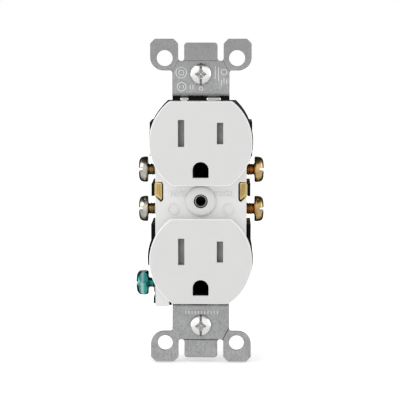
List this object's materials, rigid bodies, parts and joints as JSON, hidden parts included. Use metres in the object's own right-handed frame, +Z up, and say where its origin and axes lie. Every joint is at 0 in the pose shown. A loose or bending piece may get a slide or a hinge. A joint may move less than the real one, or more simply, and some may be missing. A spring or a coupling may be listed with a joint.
{
  "type": "duplex wall outlet",
  "caption": "Duplex wall outlet with grounded, shuttered faces on a black back body, a steel mounting strap with plaster ears, side terminal screws and a green ground screw.",
  "frame": {"origin": "midway between the two mounting screws, on the rear plane of the strap's ends, which is the plane that meets the wall or the box", "axes": "+Z up along the strap, +Y into the wall (the faces look along -Y), +X towards the hot (short slot) side, which is on the right as seen from the front"},
  "size_m": [0.0422, 0.027, 0.1069],
  "materials": {
    "white_plastic": "satin white, lightly glossy",
    "black_plastic": "fine spark-eroded texture",
    "grey_plastic": "plain moulded",
    "galvanized_steel": "hot-dip galvanized, mottled grey",
    "zinc_plated_steel": "bright zinc plating",
    "nickel_plated_steel": "nickel plating, silvery",
    "brass": "stamped brass strip, bare",
    "brass_plated_steel": "brass plating",
    "green_steel": "green chromate over zinc, glossy",
    "spring_steel": "bright spring wire and strip",
    "vulcanized_fibre": "red-brown fibre board"
  },
  "bodies": {
    "housing": {"face_cover": "white_plastic", "back_body": "black_plastic", "mounting_strap": "galvanized_steel", "center_eyelet": "zinc_plated_steel", "neutral_contact_strip": "brass", "hot_contact_strip": "brass", "ground_contact_upper": "brass", "ground_contact_lower": "brass", "ground_rivet_upper": "zinc_plated_steel", "ground_rivet_lower": "zinc_plated_steel", "shutter_carrier_upper": "grey_plastic", "shutter_carrier_lower": "grey_plastic", "shutter_spring_upper": "spring_steel", "shutter_spring_lower": "spring_steel", "wire_clip_neutral_upper": "spring_steel", "wire_clip_neutral_lower": "spring_steel", "wire_clip_hot_upper": "spring_steel", "wire_clip_hot_lower": "spring_steel"},
    "upper_shutter": {"shutter_upper": "grey_plastic"},
    "lower_shutter": {"shutter_lower": "grey_plastic"},
    "upper_neutral_screw": {"neutral_screw_upper": "nickel_plated_steel"},
    "lower_neutral_screw": {"neutral_screw_lower": "nickel_plated_steel"},
    "upper_hot_screw": {"hot_screw_upper": "brass_plated_steel"},
    "lower_hot_screw": {"hot_screw_lower": "brass_plated_steel"},
    "green_screw": {"ground_screw": "green_steel"},
    "top_retainer": {"screw_retainer_top": "vulcanized_fibre"},
    "bottom_retainer": {"screw_retainer_bottom": "vulcanized_fibre"},
    "top_mounting_screw": {"mounting_screw_top": "zinc_plated_steel"},
    "bottom_mounting_screw": {"mounting_screw_bottom": "zinc_plated_steel"}
  },
  "joints": [
    {"name": "shutter_upper_slide", "type": "slide", "parent": "housing", "child": "upper_shutter", "axis": [1, 0, 0], "range_m": [0, 0.0026], "stiffness_N_per_m": 40, "springref_m": -0.0012, "deforming": ["shutter_spring_upper"]},
    {"name": "shutter_lower_slide", "type": "slide", "parent": "housing", "child": "lower_shutter", "axis": [1, 0, 0], "range_m": [0, 0.0026], "stiffness_N_per_m": 40, "springref_m": -0.0012, "deforming": ["shutter_spring_lower"]},
    {"name": "neutral_screw_upper_advance", "type": "slide", "parent": "housing", "child": "upper_neutral_screw", "axis": [1, 0, 0], "range_m": [0, 0.0024]},
    {"name": "neutral_screw_lower_advance", "type": "slide", "parent": "housing", "child": "lower_neutral_screw", "axis": [1, 0, 0], "range_m": [0, 0.0024]},
    {"name": "hot_screw_upper_advance", "type": "slide", "parent": "housing", "child": "upper_hot_screw", "axis": [-1, 0, 0], "range_m": [0, 0.0024]},
    {"name": "hot_screw_lower_advance", "type": "slide", "parent": "housing", "child": "lower_hot_screw", "axis": [-1, 0, 0], "range_m": [0, 0.0024]},
    {"name": "ground_screw_advance", "type": "slide", "parent": "housing", "child": "green_screw", "axis": [1, 0, 0], "range_m": [0, 0.0016]},
    {"name": "mounting_screw_top_pull", "type": "slide", "parent": "housing", "child": "top_retainer", "axis": [0, -1, 0], "range_m": [0, 0.0026]},
    {"name": "mounting_screw_bottom_pull", "type": "slide", "parent": "housing", "child": "bottom_retainer", "axis": [0, -1, 0], "range_m": [0, 0.0026]},
    {"name": "mounting_screw_top_turn", "type": "hinge", "parent": "top_retainer", "child": "top_mounting_screw", "pos_m": [0, -0.0015, 0.04167], "axis": [0, -1, 0], "continuous": true},
    {"name": "mounting_screw_bottom_turn", "type": "hinge", "parent": "bottom_retainer", "child": "bottom_mounting_screw", "pos_m": [0, -0.0015, -0.04167], "axis": [0, -1, 0], "continuous": true}
  ]
}
